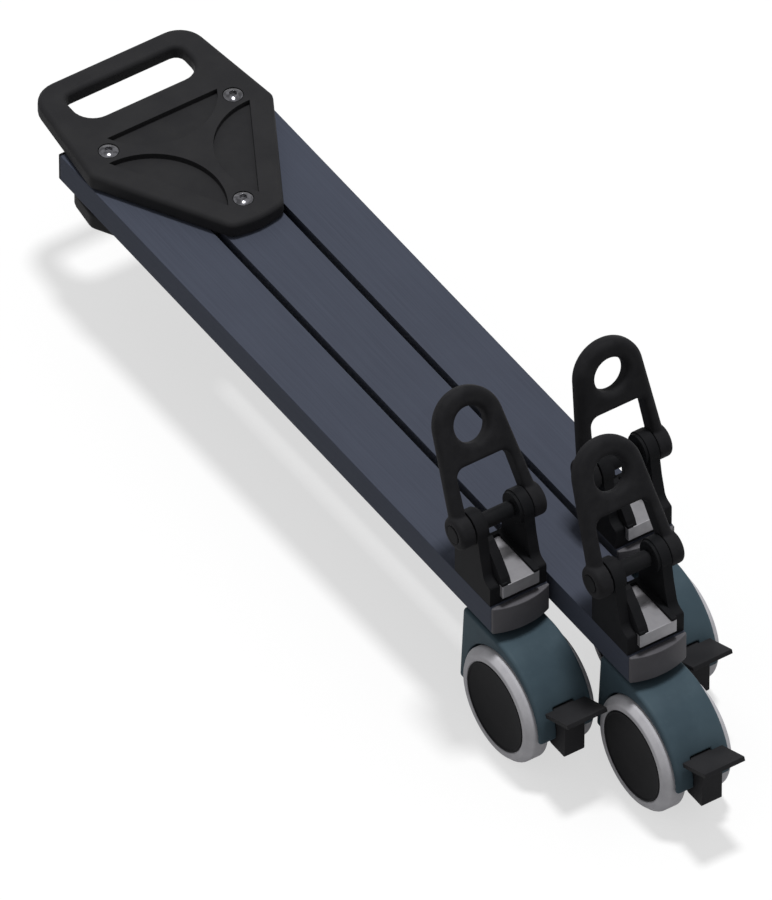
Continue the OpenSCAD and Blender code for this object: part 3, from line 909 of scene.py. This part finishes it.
@dataclass
class Strap:
    """The rubber strap that holds a tripod foot down, measured from its pin.

    Attributes:
        ring_up: Distance from the pin to the finger ring's centre.
        crown_r: Radius of the round top.
        crown_gap: How much smaller the top's two corner rounds are, so that they don't meet.
        hole_r: Radius of the finger hole.
        hole_edge: Radius of the finger hole's flared rims.
        thick: Thickness.
        edge_r: Radius of the outer edges.
        foot_half: Half width at the pin.
        foot_r: Radius of the corners at the pin.
        leg_low: Width of one leg at its low end.
        leg_top: Width of one leg at the window's top.
        window_top: Height of the window's top.
        window_r: Radius of the window's upper corners.
        window_edge: Radius of the window's rims.
        boss_r: Radius of the bosses round the pin.
        boss_edge: Radius of a boss's outer edge.
        boss_in: Where a boss starts, from the middle.
        boss_out: Where a boss ends.
        recess_r: Radius of the recess in a boss's end.
        recess_d: Depth of that recess.
        bore_r: Radius of the hole for the pin.
        bore_d: How far the hole's cutter goes in from the recess's floor.
        voxel: Size of the grid that melts the pieces together.
        melt: How often the melted skin is smoothed.
    """

    ring_up: float = 79.5
    crown_r: float = 31.5
    crown_gap: float = 0.3
    hole_r: float = 15.0
    hole_edge: float = 5.5
    thick: float = 16.0
    edge_r: float = 6.5
    foot_half: float = 40.5
    foot_r: float = 1.0
    leg_low: float = 9.5
    leg_top: float = 15.3
    window_top: float = 49.5
    window_r: float = 9.0
    window_edge: float = 3.0
    boss_r: float = 14.5
    boss_edge: float = 3.5
    boss_in: float = 28.0
    boss_out: float = 41.0
    recess_r: float = 7.8
    recess_d: float = 1.8
    bore_r: float = 5.1
    bore_d: float = 20.0
    voxel: float = 0.8
    melt: int = 5

    def outside(self) -> list[Corner]:
        """Draws the outer outline.

        Returns:
            Its corners, with the pin at (0, 0).
        """
        reach = math.hypot(self.foot_half, self.ring_up)
        tilt = math.atan(self.foot_half / self.ring_up) - math.asin(self.crown_r / reach)
        half = self.crown_r * math.tan(math.radians(45) - tilt / 2)
        top, top_r = self.ring_up + self.crown_r, self.crown_r - self.crown_gap
        foot, foot_r = self.foot_half, self.foot_r
        return [(-foot, 0, foot_r), (foot, 0, foot_r), (half, top, top_r), (-half, top, top_r)]

    def window(self) -> list[Corner]:
        """Draws the window, which runs on below the pin.

        Returns:
            Its corners.
        """
        low, low_half = -2 * self.boss_r, self.foot_half - self.leg_low
        top, top_half = self.window_top, self.foot_half - self.leg_top
        return [
            (-low_half, low, self.foot_r),
            (low_half, low, self.foot_r),
            (top_half, top, self.window_r),
            (-top_half, top, self.window_r),
        ]

    def boss(self, side: int) -> Solid:
        """Builds the round-edged boss on one side.

        Args:
            side: -1 for the -X side, 1 for the +X side.

        Returns:
            The boss.
        """
        r, length = self.boss_r, self.boss_out - self.boss_in
        edge = quarter_round(self.boss_edge, 6)
        rim = [(r - inset, length - drop) for inset, drop in edge]
        drum = Solid.lathe([(0.0, 0.0), (r, 0.0), *rim, (0.0, length)])
        turn = turned(90 * side, "Y")
        return drum.moved(Matrix.Translation((side * self.boss_in, 0, 0)) @ turn)

    def pin_holes(self, side: int) -> tuple[Solid, Solid]:
        """Builds the cutters of the recess and of the hole for the pin in one boss.

        Args:
            side: -1 for the -X side, 1 for the +X side.

        Returns:
            The two cutters.
        """
        recess = Solid.drum(self.recess_r, 0.0, 2 * PAST, 64)
        bore = Solid.drum(self.bore_r, -self.bore_d, 2 * PAST, 64)
        turn = turned(90 * side, "Y")
        place = Matrix.Translation((side * (self.boss_out - self.recess_d), 0, 0)) @ turn
        return recess.moved(place), bore.moved(place)

    def finger_hole(self) -> Solid:
        """Builds the cutter of the flared finger hole.

        Returns:
            The cutter.
        """
        half, flare = self.thick / 2, quarter_round(self.hole_edge, 9)
        low = [(self.hole_r + spread, rise - half) for rise, spread in flare]
        high = [(radius, -height) for radius, height in reversed(low)]
        wide, out = self.hole_r + self.hole_edge, half + PAST
        profile = [(0.0, -out), (wide, -out), *low, *high, (wide, out), (0.0, out)]
        return Solid.lathe(profile, 128).moved(Matrix.Translation((0, self.ring_up, 0)))

    def build(self, material: bpy.types.Material) -> bpy.types.Object:
        """Builds the strap with its pin along X at the origin, standing up along Z.

        Args:
            material: The rubber.

        Returns:
            The piece to copy.
        """
        rims = rounded_levels(self.thick, self.window_edge, 4)
        flare = [(height, -inset) for height, inset in rims]
        out = self.thick / 2 + PAST
        levels = [(-out, flare[0][1]), *flare, (out, flare[-1][1])]
        body = Solid.slab(self.outside(), rounded_levels(self.thick, self.edge_r), 4.0)
        body.cut(Solid.slab(self.window(), levels, 6.0), self.finger_hole())
        body.join(self.boss(-1), self.boss(1))
        body.moved(turned(90, "X"))
        for side in (-1, 1):
            body.cut(*self.pin_holes(side))
        return body.fused(self.voxel, self.melt).piece("foot_strap", material)

    def fit(self, arm: Arm, strap: bpy.types.Object) -> None:
        """Stands a copy of the strap on one arm's pin, with its lean in the mesh.

        Args:
            arm: The arm.
            strap: The strap, upright at the origin.
        """
        piece = twin(strap, f"{arm.name}_rubber_strap")
        piece.data = strap.data.copy()
        piece.data.transform(turned(-arm.lean, "X"))
        piece.matrix_world = arm.at(*arm.pin)
        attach(piece, f"{arm.name}_strap")
        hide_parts(f"{arm.name}_foot_strap")


# Turns a slab that was drawn on XY: its outline goes on YZ and its thickness along X.
LAID = Matrix(((0, 0, 1, 0), (1, 0, 0, 0), (0, 1, 0, 0), (0, 0, 0, 1)))


@dataclass
class Hood:
    """The moulded hood over a caster's two wheels, measured from the axle.

    Attributes:
        outline: Corners (y, z, radius) of its side.
        width: Width over both sides.
        edge_r: Radius of its rounded side edges.
        arch_r: Radius of the wheel arches.
        web_half: Half thickness of the web between the wheels.
        cavity: Corners (y, z) of the slot for the brake lever.
        cavity_half: Half width of that slot.
        hub_r: Radius of the barrel round the axle.
        hub_proud: How far the barrel stands out of the web on each side.
        axle_r: Radius of the axle hole.
        pin: Place (y, z) of the lever's pin.
        pin_r: Radius of the pin's hole.
        stem: Place y, hole radius and lowest z of the swivel stem.
        race: Radius and height of the ring under the arm, on the hood's top.
        voxel: Size of the grid that softens every edge.
        melt: How often the softened skin is smoothed.
    """

    outline: tuple[Corner, ...] = (
        (53.0, -18.0, 3.2),
        (62.0, -18.0, 3.2),
        (57.0, 62.0, 5.0),
        (-55.0, 62.0, 62.0),
        (-55.0, -3.0, 3.4),
    )
    width: float = 51.5
    edge_r: float = 3.0
    arch_r: float = 51.7
    web_half: float = 13.2
    cavity: tuple[Point, ...] = (
        (-65.0, -28.0),
        (-19.0, -28.0),
        (-19.0, 22.0),
        (-47.0, 25.8),
        (-58.0, 29.9),
        (-65.0, 33.0),
    )
    cavity_half: float = 10.1
    hub_r: float = 9.0
    hub_proud: float = 0.3
    axle_r: float = 4.0
    pin: Point = (-30.0, 14.0)
    pin_r: float = 2.5
    stem: tuple[float, float, float] = (35.0, 5.55, 21.7)
    race: Point = (13.0, 3.0)
    voxel: float = 0.8
    melt: int = 3

    def build(self, material: bpy.types.Material) -> bpy.types.Object:
        """Builds the hood round an axle along X at the origin, with softened edges.

        Args:
            material: The hood's plastic.

        Returns:
            The piece to copy.
        """
        rims = rounded_levels(self.width, self.edge_r)
        shell = Solid.slab(self.outline, rims, 3.0).moved(LAID)
        for side in (-1, 1):
            shell.cut(Solid.rod(self.arch_r, side * self.web_half, side * self.width, 160))
        top, hub_half = self.outline[2][1], self.web_half + self.hub_proud
        race_r, race_h = self.race
        stem_y, stem_r, stem_z = self.stem
        back = Matrix.Translation((0, stem_y, 0))
        race = Solid.drum(race_r, top - OVERLAP, top + race_h).moved(back)
        stem = Solid.drum(stem_r, stem_z, top + race_h + 2 * PAST, 64).moved(back)
        shell.join(Solid.rod(self.hub_r, -hub_half, hub_half), race)
        half = self.cavity_half
        slot = Solid.slab([(y, z, SHARP) for y, z in self.cavity], [(-half, 0), (half, 0)])
        pin = Solid.rod(self.pin_r, -self.width, self.width, 48)
        pin.moved(Matrix.Translation((0, *self.pin)))
        axle = Solid.rod(self.axle_r, -self.width, self.width, 64)
        shell.cut(slot.moved(LAID), axle, pin, stem)
        return shell.fused(self.voxel, self.melt).piece("hood", material)

    def fit(self, arm: Arm, hood: bpy.types.Object) -> None:
        """Sets a copy of the hood over one arm's caster.

        Args:
            arm: The arm.
            hood: The hood, with its axle at the origin.
        """
        piece = twin(hood, f"{arm.name}_caster_hood")
        piece.matrix_world = arm.at(*arm.axle)
        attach(piece, f"{arm.name}_caster")
        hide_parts(f"{arm.name}_hood")


@dataclass
class Wheel:
    """One wheel of a caster: a disc-faced rim in a tyre, with its axle along X.

    Attributes:
        radius: Radius over the tyre.
        disc_r: Radius of the rim.
        inner: Where the wheel's inner face is, from the middle of the caster.
        face: Where its outer face is.
        bevel: Width of the bevel round the tyre's outer edge.
        line_half: Half width of the fine line round the tread.
        line_d: Depth of that line.
        gap: Width of the groove between the tyre's face and the rim.
        gap_d: Depth of that groove.
        sink: How far the disc lies below the rim's lip.
        disc_t: Thickness of the disc.
        lip: Width of the rim's lip.
        barrel: Thickness of the rim's barrel.
        bore: Radius of the hub's bore.
        hub: Radius of the hub.
    """

    radius: float = 50.0
    disc_r: float = 39.5
    inner: float = 14.0
    face: float = 33.0
    bevel: float = 5.0
    line_half: float = 0.5
    line_d: float = 0.35
    gap: float = 0.4
    gap_d: float = 0.8
    sink: float = 0.6
    disc_t: float = 2.4
    lip: float = 2.2
    barrel: float = 3.5
    bore: float = 4.05
    hub: float = 8.0

    def tyre(self, material: bpy.types.Material) -> bpy.types.Object:
        """Builds the tyre, with soft shoulders and a fine line round the tread.

        Args:
            material: The tyre's rubber.

        Returns:
            The piece to copy, with its axle along Z.
        """
        r, face, mid = self.radius, self.face, (self.inner + self.face - self.bevel) / 2
        profile = [
            (self.disc_r, self.inner, 0.3),
            (r, self.inner, 1.8),
            (r, mid - self.line_half, 0.2),
            (r - self.line_d, mid, 0.3),
            (r, mid + self.line_half, 0.2),
            (r, face - self.bevel, 4.0),
            (r - self.bevel, face, 2.6),
            (self.disc_r + self.gap + 0.5, face, 0.5),
            (self.disc_r + self.gap, face - self.gap_d, 0.2),
            (self.disc_r, face - self.gap_d, 0.1),
        ]
        return Solid.lathe(rounded_outline(profile, 0.0, 12.0), 180).piece("tyre", material)

    def rim(self, material: bpy.types.Material) -> bpy.types.Object:
        """Builds the rim: a sunk disc, a lip, a barrel and a hub behind it.

        Args:
            material: The rim's plastic.

        Returns:
            The piece to copy, with its axle along Z.
        """
        top, low = self.face - self.sink, self.face - self.sink - self.disc_t
        lip_r, wall, start = self.disc_r - self.lip, self.disc_r - self.barrel, self.inner + 1
        profile = [
            (0.0, top),
            (lip_r - 0.5, top),
            (lip_r, top + 0.1),
            (lip_r + 0.3, self.face - 0.1),
            (lip_r + 0.7, self.face),
            (self.disc_r - 0.6, self.face),
            (self.disc_r - 0.1, self.face - 0.2),
            (self.disc_r, self.face - 0.7),
            (self.disc_r, start),
            (wall, start),
            (wall, low - 1.5),
            (wall - 1.5, low),
            (self.hub, low),
            (self.hub, self.inner),
            (self.bore, self.inner),
            (self.bore, low),
            (0.0, low),
        ]
        return Solid.lathe(profile, 144).piece("rim", material)

    def fit(self, arm: Arm, side: str, tyre: bpy.types.Object, rim: bpy.types.Object) -> None:
        """Sets copies of the tyre and rim on one end of an axle.

        Args:
            arm: The arm that carries the caster.
            side: "a" for the -X end of the axle, "b" for the +X end.
            tyre: The tyre, with its axle along Z.
            rim: The rim, with its axle along Z.
        """
        turn = turned(-90 if side == "a" else 90, "Y")
        for part, form, slot in (("tyre", tyre, "tyre"), ("rim", rim, "wheel_plastic")):
            piece = twin(form, f"{arm.name}_wheel_{side}_{part}")
            piece.matrix_world = arm.at(*arm.axle) @ turn
            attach(piece, f"{arm.name}_wheel_{side}")
            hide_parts(f"{arm.name}_{part}_{side}")


@dataclass
class Ramp:
    """The black ramp that guides a tripod foot, inside the -X cheek of a foot shoe.

    Attributes:
        side: Corners (y, z) of the ramp's side, measured along the arm from its pivot.
        inner: Where the ramp's inner face is, from the middle of the arm.
        outer: Where its outer face is, just inside the cheek's own face.
        edges: The rounds on its edges.
    """

    side: tuple[Point, ...] = (
        (-599.3, 165.2),
        (-552.0, 165.2),
        (-552.0, 195.0),
        (-571.0, 196.5),
        (-575.3, 194.8),
        (-584.5, 186.2),
        (-592.3, 177.3),
        (-597.0, 171.3),
        (-599.3, 166.0),
    )
    inner: float = 9.0
    outer: float = 17.7
    edges: EdgeBreak = field(default_factory=lambda: EdgeBreak(0.8, 3, 25.0))

    def build(self, material: bpy.types.Material) -> bpy.types.Object:
        """Builds the ramp of an arm whose pivot is over the origin.

        Args:
            material: The foot shoe's plastic.

        Returns:
            The piece to copy.
        """
        corners = [(y, z, SHARP) for y, z in self.side]
        block = Solid.slab(corners, [(-self.outer, 0.0), (-self.inner, 0.0)]).moved(LAID)
        ramp = block.piece("ramp", material)
        self.edges.apply(ramp)
        return ramp

    def fit(self, arm: Arm, ramp: bpy.types.Object) -> None:
        """Sets a copy of the ramp in one arm's foot shoe.

        Args:
            arm: The arm.
            ramp: The ramp of an arm at the origin.
        """
        piece = twin(ramp, f"{arm.name}_foot_ramp")
        piece.matrix_world = arm.at(0, 0)
        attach(piece, arm.body)


@dataclass
class Dressing:
    """What a carried-over CAD solid gets.

    Attributes:
        finish: The name of its finish.
        edges: The rounds on its edges. None is for a solid that is inside others or replaced.
    """

    finish: str
    edges: EdgeBreak | None = None


@dataclass
class Dolly:
    """The whole dolly.

    Attributes:
        finishes: Its finishes.
        arms: Its three arms.
        hub: What each solid of the hub gets, by node.
        carried: What each solid of an arm gets, by node without the arm's name.
    """

    finishes: Finishes = field(default_factory=Finishes)
    arms: tuple[Arm, ...] = (
        Arm("left", -60.0, 354.265, 30.5, "left_arm"),
        Arm("middle", 0.0, 247.765, 28.0, "hub"),
        Arm("right", 60.0, 354.265, 15.0, "right_arm"),
    )
    hub: dict[str, Dressing] = field(
        default_factory=lambda: {
            "top_plate": Dressing("plate", EdgeBreak(0.9, 3, 34.0)),
            "bottom_plate": Dressing("plate", EdgeBreak(0.9, 2, 34.0)),
            "pivot_bolts": Dressing("chrome", EdgeBreak(0.3, 2, 34.0)),
            "pivot_nuts": Dressing("steel", EdgeBreak(0.5, 2, 34.0)),
            "friction_washers": Dressing("washer"),
        }
    )
    carried: dict[str, Dressing] = field(
        default_factory=lambda: {
            "arm_tube": Dressing("tube", EdgeBreak(1.0, 3)),
            "pivot_bush": Dressing("brass"),
            "tail_plug": Dressing("shoe", EdgeBreak(0.8, 2)),
            "end_cap": Dressing("cap", EdgeBreak(0.9, 3)),
            "stem_block": Dressing("steel"),
            "foot_shoe": Dressing("shoe", EdgeBreak(0.9, 2)),
            "seat_block": Dressing("seat", EdgeBreak(0.5, 2)),
            "cross_pin": Dressing("shoe", EdgeBreak(0.8, 3)),
            "foot_strap": Dressing("strap"),
            "caster_stem": Dressing("steel", EdgeBreak(0.5, 2)),
            "hood": Dressing("hood"),
            "axle": Dressing("steel"),
            "rim_a": Dressing("disc"),
            "tyre_a": Dressing("tyre"),
            "rim_b": Dressing("disc"),
            "tyre_b": Dressing("tyre"),
            "brake_pedal": Dressing("pedal", EdgeBreak(0.8, 3)),
            "pedal_pin": Dressing("steel"),
        }
    )

    def dress(self, node: bpy.types.Object, dressing: Dressing) -> None:
        """Gives one carried-over solid its material and its broken edges.

        Args:
            node: The solid.
            dressing: Its finish and edges.
        """
        material = self.finishes.material(dressing.finish)
        if not node.material_slots:
            node.data.materials.append(material)
        for slot in node.material_slots:
            slot.material = material
        if dressing.edges:
            dressing.edges.apply(node)
        LOG.info("dressed %s in %s", node.name, dressing.finish)

    def build(self, nodes: Mapping[str, bpy.types.Object]) -> None:
        """Dresses every solid of the frame and adds the pieces that replace some.

        Args:
            nodes: The frame's CAD nodes by name.
        """
        for name, dressing in self.hub.items():
            self.dress(nodes[name], dressing)
        for arm in self.arms:
            for name, dressing in self.carried.items():
                self.dress(nodes[f"{arm.name}_{name}"], dressing)
        strap, hood, wheel, guide = Strap(), Hood(), Wheel(), Ramp()
        rubber = strap.build(self.finishes.material("strap"))
        shell = hood.build(self.finishes.material("hood"))
        tyre = wheel.tyre(self.finishes.material("tyre"))
        rim = wheel.rim(self.finishes.material("disc"))
        ramp = guide.build(self.finishes.material("shoe"))
        for arm in self.arms:
            strap.fit(arm, rubber)
            hood.fit(arm, shell)
            guide.fit(arm, ramp)
            for side in ("a", "b"):
                wheel.fit(arm, side, tyre, rim)
        for form in (rubber, shell, tyre, rim, ramp):
            bpy.data.objects.remove(form)


@dataclass
class Studio:
    """A white floor, soft light from above and a long-lens camera.

    Attributes:
        sky: Strength of the even light from all round.
        key: Strength of the overhead lamp, as a share of full light.
        spread: How wide the lamp looks, in degrees. It sets how soft the shadow is.
        towards: Direction of the lamp.
        ground: How much light the floor throws back, from 0 to 1.
        lift: Light added to the floor as the camera sees it, so that it shows white.
        floor_r: Radius of the floor in metres.
        floor_z: Height of the floor in metres, a hair below the wheels.
        floor_sides: How many corners the floor has.
        lamp_out: Distance of the lamp along that direction, in metres.
        lens: Focal length of the camera in millimetres.
        clip: Nearest and farthest distance that the camera sees, in metres.
        eye: Place of the camera in metres.
        azimuth: Turn of the camera round the object, in degrees.
        elevation: How steeply the camera looks down, in degrees.
    """

    sky: float = 0.31
    key: float = 0.7
    spread: float = 8.0
    towards: tuple[float, float, float] = (0.1, 0.09, 1.0)
    ground: float = 0.4
    lift: float = 0.62
    floor_r: float = 30.0
    floor_z: float = -0.0004
    floor_sides: int = 64
    lamp_out: float = 3.0
    lens: float = 1200.0
    clip: Point = (1.0, 100.0)
    eye: tuple[float, float, float] = (-9.58301, -14.44289, 16.7656)
    azimuth: float = -33.49248
    elevation: float = 43.91228

    def seen(self, graph: Graph) -> Wire:
        """Tells the rays that show the background from those that light things.

        Args:
            graph: The node tree that asks.

        Returns:
            1 for rays that show the background, and 0 for the others.
        """
        rays = [
            graph.add("ShaderNodeLightPath", output=name)
            for name in ("Is Camera Ray", "Is Glossy Ray", "Is Transmission Ray")
        ]
        return rays[0] + rays[1] + rays[2]

    def floor(self) -> None:
        """Lays the floor, white to the eye and dimmer to the object above it."""
        grey, black, white = (self.ground,) * 3, (0.0, 0.0, 0.0), (1.0, 1.0, 1.0)
        paint = Paint("floor", Base_Color=grey, Roughness=0.9, Specular_IOR_Level=0.0)
        paint.feed("Emission Color", paint.blend(self.seen(paint), black, white))
        paint.feed("Emission Strength", self.lift)
        turns = [math.tau * k / self.floor_sides for k in range(self.floor_sides)]
        reach, low = self.floor_r, self.floor_z
        ring = [(reach * math.cos(a), reach * math.sin(a), low) for a in turns]
        mesh = bpy.data.meshes.new("floor")
        mesh.from_pydata(ring, [], [tuple(range(self.floor_sides))])
        mesh.materials.append(paint.material)
        add_object("floor", mesh)

    def world(self) -> None:
        """Makes the world: white where it is seen, and even soft light elsewhere."""
        world = bpy.data.worlds.new("studio")
        bpy.context.scene.world = world
        world.use_nodes = True
        graph = Graph(world.node_tree)
        white = (1.0, 1.0, 1.0)
        light = graph.add("ShaderNodeBackground", None, {"Color": white, "Strength": self.sky})
        seen = graph.add("ShaderNodeBackground", None, {"Color": white, "Strength": 1.0})
        both = graph.add("ShaderNodeMixShader", None, {0: self.seen(graph), 1: light, 2: seen})
        graph.node("ShaderNodeOutputWorld", None, {"Surface": both})

    def sun(self) -> None:
        """Hangs one soft distant lamp almost overhead."""
        data = bpy.data.lights.new("overhead", "SUN")
        data.energy, data.angle = self.key * math.pi, math.radians(self.spread)
        lamp = add_object("overhead", data)
        lamp.location = Vector(self.towards) * self.lamp_out
        lamp.rotation_euler = Vector(self.towards).to_track_quat("Z", "Y").to_euler()

    def camera(self) -> None:
        """Sets up the camera at the photograph's viewing angle."""
        data = bpy.data.cameras.new("camera")
        data.lens = self.lens
        data.clip_start, data.clip_end = self.clip
        camera = add_object("camera", data)
        a, e = math.radians(self.azimuth), math.radians(self.elevation)
        back = Vector((math.sin(a) * math.cos(e), -math.cos(a) * math.cos(e), math.sin(e)))
        turn = (-back).to_track_quat("-Z", "Y").to_matrix().to_4x4()
        camera.matrix_world = Matrix.Translation(self.eye) @ turn
        bpy.context.scene.camera = camera

    def build(self) -> None:
        """Sets up the floor, the light, the camera and the plain view transform."""
        self.floor()
        self.world()
        self.sun()
        self.camera()
        bpy.context.scene.view_settings.view_transform = "Standard"


def main() -> None:
    """Builds the dolly's looks and its studio."""
    logging.basicConfig(level=logging.INFO, format="%(name)s: %(message)s")
    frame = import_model()
    Dolly().build(frame["nodes"])
    Studio().build()
    bpy.context.view_layer.update()


if __name__ == "__main__":
    main()
